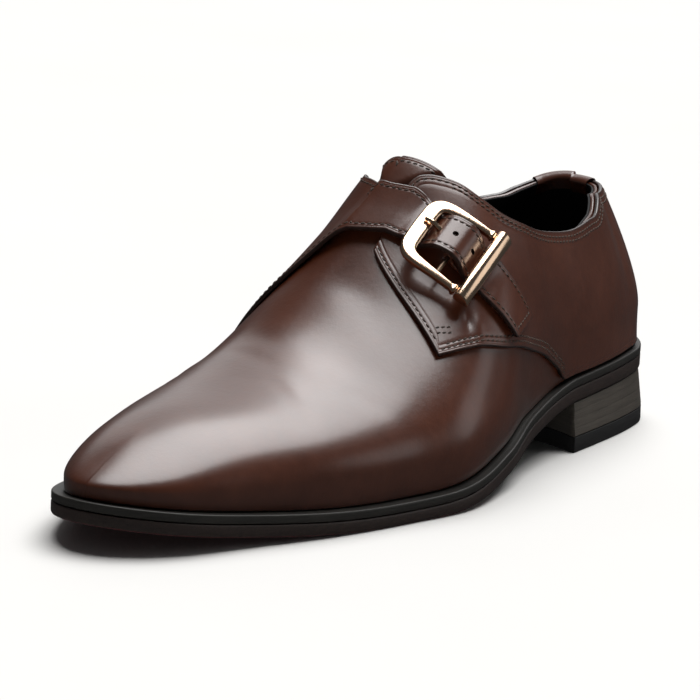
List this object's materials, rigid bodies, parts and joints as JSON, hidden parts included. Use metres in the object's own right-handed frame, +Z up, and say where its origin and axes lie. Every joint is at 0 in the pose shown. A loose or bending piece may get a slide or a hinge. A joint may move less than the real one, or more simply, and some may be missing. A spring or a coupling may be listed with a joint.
{
  "type": "monk strap shoe",
  "caption": "Dark brown leather monk strap shoe for the left foot, with a plain vamp, a strap across the instep, a gold buckle, a welted leather sole and a stacked heel.",
  "frame": {"origin": "centre of the floor print's bounding box, on the floor the heel and ball stand on", "axes": "+Z up, -Y towards the toe, +X towards the outer (buckle) side of the left foot"},
  "size_m": [0.1082, 0.3056, 0.1056],
  "materials": {
    "calf": "polished dark brown calf",
    "insole_leather": "matte dark lining leather",
    "edge_leather": "waxed black edge",
    "sole_leather": "waxed oxblood tread",
    "lift_rubber": "matte black",
    "gold_metal": "polished rose gold plate"
  },
  "bodies": {
    "root": {"upper": "calf", "tongue": "calf", "outer_quarter": "calf", "inner_quarter_strap": "calf", "buckle_frame": "gold_metal", "buckle_bar": "gold_metal", "buckle_pin": "gold_metal", "buckle_prong": "gold_metal", "buckle_tab": "calf", "insole": "insole_leather", "welt": "edge_leather", "outsole": "sole_leather", "heel_stack": "edge_leather", "top_lift": "lift_rubber"}
  },
  "joints": []
}
